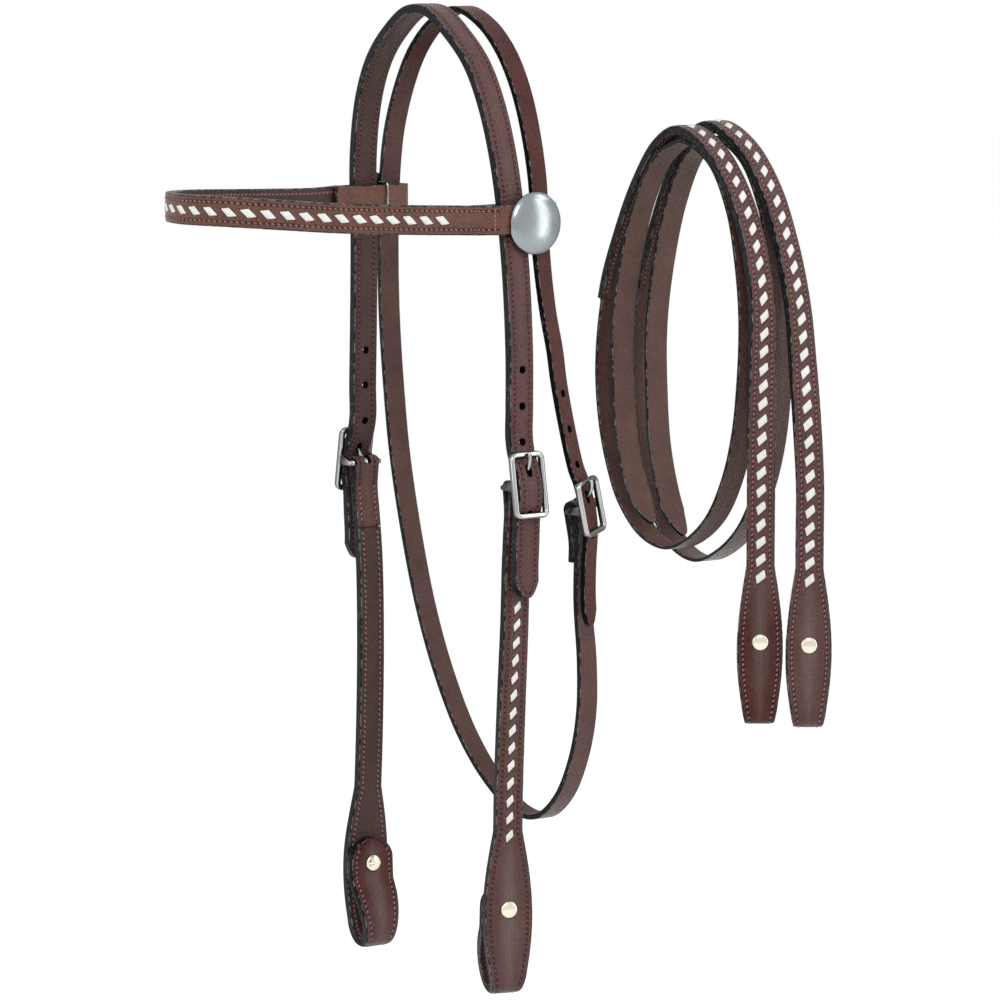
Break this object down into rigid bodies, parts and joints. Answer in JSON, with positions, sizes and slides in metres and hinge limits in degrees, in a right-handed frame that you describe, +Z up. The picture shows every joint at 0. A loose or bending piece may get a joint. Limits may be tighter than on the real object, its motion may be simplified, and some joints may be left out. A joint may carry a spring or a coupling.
{
  "type": "western headstall",
  "caption": "Western browband headstall of stitched, laced leather with concho ends, buckled cheeks and throatlatch, and a matching pair of coiled split reins.",
  "frame": {"origin": "middle of the crown's underside, where it rests on the horse's poll", "axes": "+Z up, +X towards the horse's near (left) side, -Y forwards, the way the browband points"},
  "size_m": [0.1835, 0.3887, 0.546],
  "materials": {
    "grain_leather": "oiled grain side with painted dark edges",
    "lining_leather": "smooth flesh side with a satin sheen",
    "white_lace": "matte white lace",
    "polished_hardware": "polished",
    "concho_metal": "satin, with a bright rim",
    "screw_metal": "polished, faintly warm"
  },
  "bodies": {
    "headstall": {"crown_outer_ply": "grain_leather", "crown_lining_ply": "lining_leather", "near_buckle_frame": "polished_hardware", "far_buckle_frame": "polished_hardware"},
    "near_cheek": {"near_cheek_outer_ply": "grain_leather", "near_cheek_lining_ply": "lining_leather", "near_cheek_lace": "white_lace", "near_screw_post": "screw_metal"},
    "far_cheek": {"far_cheek_outer_ply": "grain_leather", "far_cheek_lining_ply": "lining_leather", "far_cheek_lace": "white_lace", "far_screw_post": "screw_metal"},
    "near_screw": {"near_slotted_screw": "screw_metal"},
    "far_screw": {"far_slotted_screw": "screw_metal"},
    "near_tongue": {"near_buckle_tongue": "polished_hardware"},
    "far_tongue": {"far_buckle_tongue": "polished_hardware"},
    "browband": {"browband_base": "lining_leather", "browband_overlay": "grain_leather", "browband_lace": "white_lace", "near_concho_dome": "concho_metal", "far_concho_dome": "concho_metal", "near_concho_wire": "polished_hardware", "far_concho_wire": "polished_hardware"},
    "throatlatch": {"throatlatch_strap": "grain_leather", "throat_buckle_frame": "polished_hardware"},
    "throat_tongue": {"throat_buckle_tongue": "polished_hardware"},
    "rein_1": {"rein_1_strap": "lining_leather", "rein_1_overlay": "grain_leather", "rein_1_lace": "white_lace", "rein_1_screw_post": "screw_metal"},
    "rein_1_screw": {"rein_1_slotted_screw": "screw_metal"},
    "rein_2": {"rein_2_strap": "lining_leather", "rein_2_overlay": "grain_leather", "rein_2_lace": "white_lace", "rein_2_screw_post": "screw_metal"},
    "rein_2_screw": {"rein_2_slotted_screw": "screw_metal"}
  },
  "joints": [
    {"name": "near_cheek_swing", "type": "hinge", "parent": "headstall", "child": "near_cheek", "pos_m": [0.07249, 0.009, -0.2555], "axis": [0, 1, 0], "range_deg": [0, 8]},
    {"name": "far_cheek_swing", "type": "hinge", "parent": "headstall", "child": "far_cheek", "pos_m": [-0.07249, 0.009, -0.2555], "axis": [0, -1, 0], "range_deg": [0, 8]},
    {"name": "near_screw_turn", "type": "hinge", "parent": "near_cheek", "child": "near_screw", "pos_m": [0.06319, 0.009, -0.49251], "axis": [0.9558, -0.294, -0.0005], "continuous": true},
    {"name": "far_screw_turn", "type": "hinge", "parent": "far_cheek", "child": "far_screw", "pos_m": [-0.07223, 0.009, -0.48647], "axis": [-0.9983, 0.0524, 0.0262], "continuous": true},
    {"name": "near_tongue_lift", "type": "hinge", "parent": "headstall", "child": "near_tongue", "pos_m": [0.07249, 0.009, -0.2555], "axis": [0, 1, 0], "range_deg": [0, 4]},
    {"name": "far_tongue_lift", "type": "hinge", "parent": "headstall", "child": "far_tongue", "pos_m": [-0.07249, 0.009, -0.2555], "axis": [0, -1, 0], "range_deg": [0, 4]},
    {"name": "browband_slide", "type": "slide", "parent": "headstall", "child": "browband", "axis": [0, 0, 1], "range_m": [-0.003, 0.003]},
    {"name": "throatlatch_swing", "type": "hinge", "parent": "headstall", "child": "throatlatch", "pos_m": [0, 0.025, 0.0032], "axis": [1, 0, 0], "range_deg": [0, 0.5]},
    {"name": "throat_tongue_lift", "type": "hinge", "parent": "throatlatch", "child": "throat_tongue", "pos_m": [0.08, 0.044, -0.269], "axis": [-0.37, 0.9158, 0.1564], "range_deg": [0, 4]},
    {"name": "rein_1_swing", "type": "hinge", "parent": "headstall", "child": "rein_1", "pos_m": [0.024, 0.185, -0.0685], "axis": [0, 1, 0], "range_deg": [0, 8]},
    {"name": "rein_2_swing", "type": "hinge", "parent": "headstall", "child": "rein_2", "pos_m": [0.0285, 0.207, -0.0665], "axis": [0, -1, 0], "range_deg": [0, 8]},
    {"name": "rein_1_screw_turn", "type": "hinge", "parent": "rein_1", "child": "rein_1_screw", "pos_m": [0.0695, 0.185, -0.35788], "axis": [0.7986, -0.6018, 0], "continuous": true},
    {"name": "rein_2_screw_turn", "type": "hinge", "parent": "rein_2", "child": "rein_2_screw", "pos_m": [0.08663, 0.207, -0.35962], "axis": [0.7986, -0.6018, 0], "continuous": true}
  ]
}
